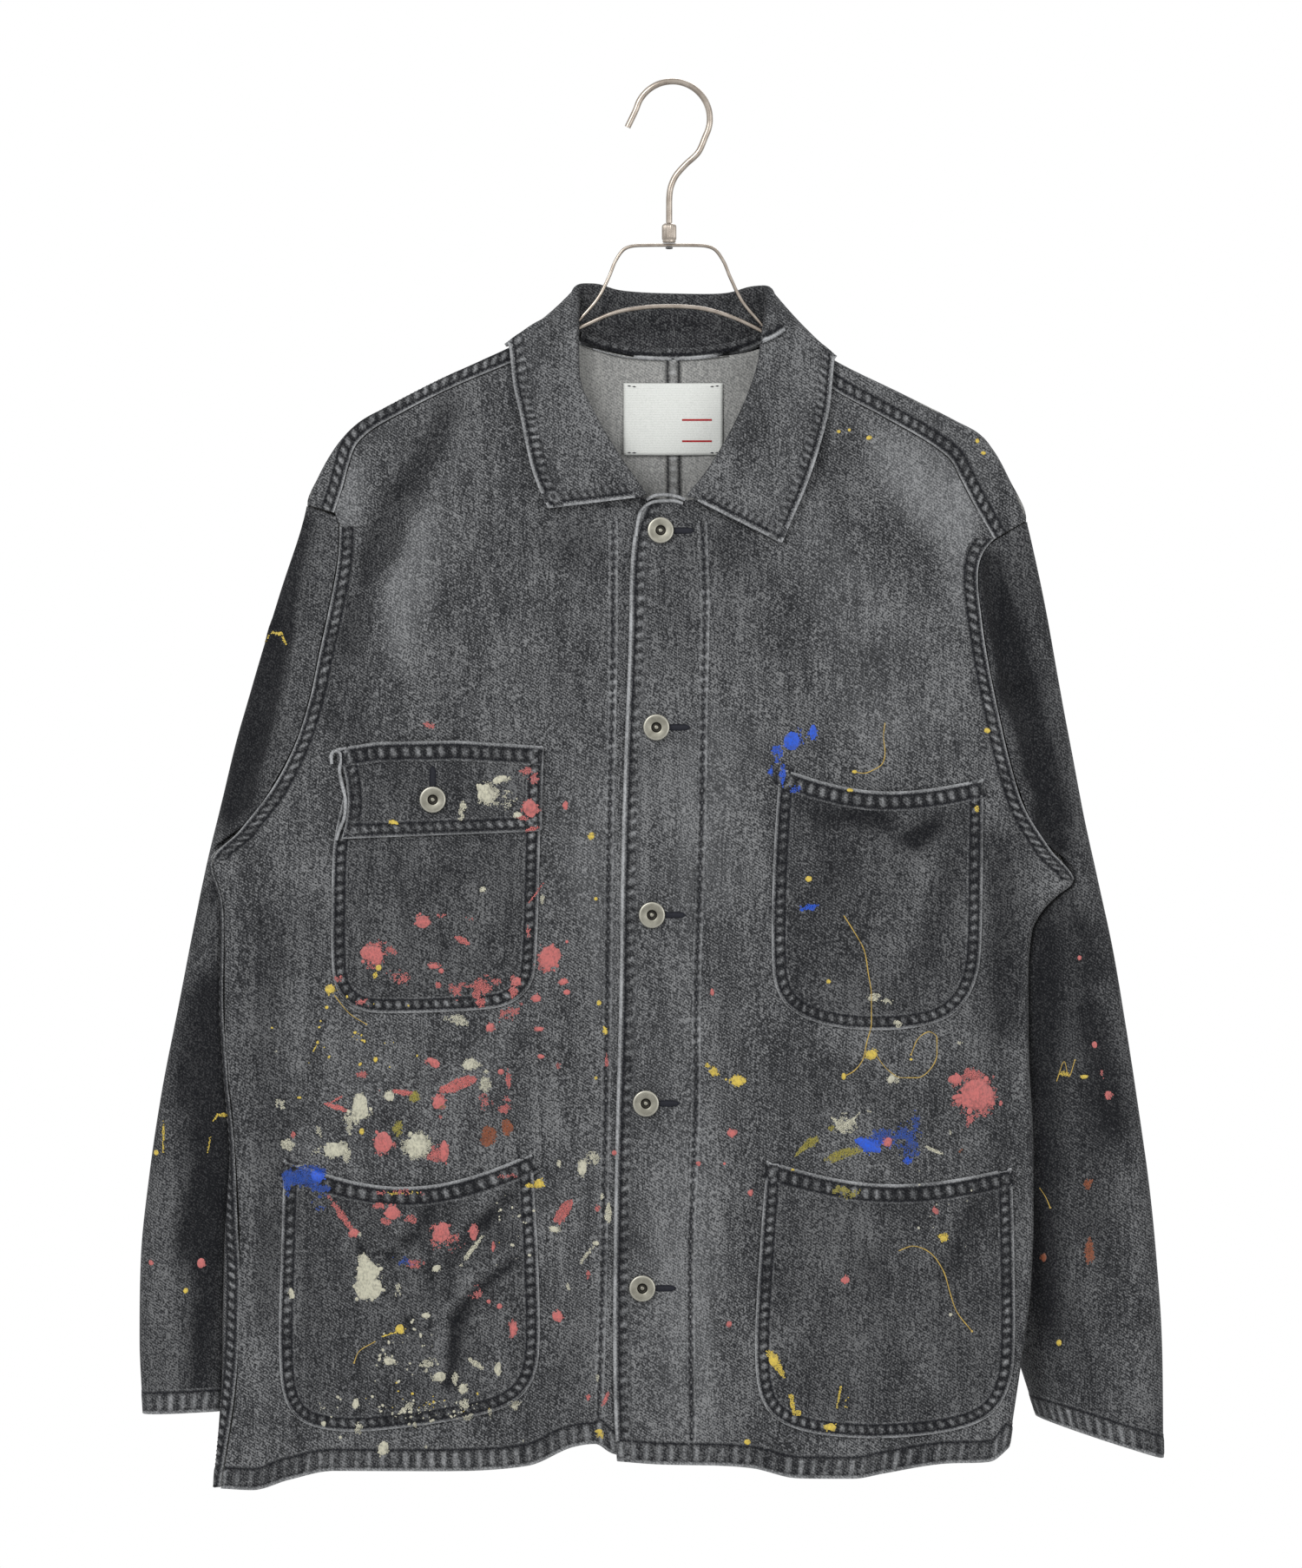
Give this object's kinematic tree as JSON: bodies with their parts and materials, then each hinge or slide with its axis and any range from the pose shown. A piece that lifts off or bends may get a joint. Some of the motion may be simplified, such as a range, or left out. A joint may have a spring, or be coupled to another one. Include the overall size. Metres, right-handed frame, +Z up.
{
  "type": "paint spattered denim work jacket on a wire hanger",
  "caption": "Worn dark denim work jacket, spattered with paint, buttoned up and hanging flat on a wire clothes hanger.",
  "frame": {"origin": "underside of the hanger hook's crown, where a rail or wall hook carries it", "axes": "+Z up, along the height of the hanging jacket; -Y out of the jacket's front; +X towards the wearer's left sleeve"},
  "size_m": [0.6732, 0.088, 0.9247],
  "materials": {
    "denim": "faded dark grey denim, matte, worn pale at its edges and spattered with paint",
    "label_cloth": "smooth woven off-white label",
    "pewter": "worn cast tack button",
    "satin_nickel": "satin nickel plated wire",
    "dark_steel": "blackened rivet"
  },
  "bodies": {
    "root": {"back_left": "denim", "back_right": "denim", "front_left": "denim", "front_right": "denim", "sleeve_left": "denim", "sleeve_right": "denim", "pocket_chest_left": "denim", "pocket_chest_right": "denim", "pocket_flap": "denim", "pocket_lower_left": "denim", "pocket_lower_right": "denim", "collar": "denim", "neck_label": "label_cloth", "button_1": "pewter", "button_2": "pewter", "button_3": "pewter", "button_4": "pewter", "button_5": "pewter", "button_flap": "pewter", "hanger_arms": "satin_nickel", "hanger_ferrule": "satin_nickel", "hanger_frame": "satin_nickel", "hanger_hook": "satin_nickel", "hanger_rivet": "dark_steel"}
  },
  "joints": []
}
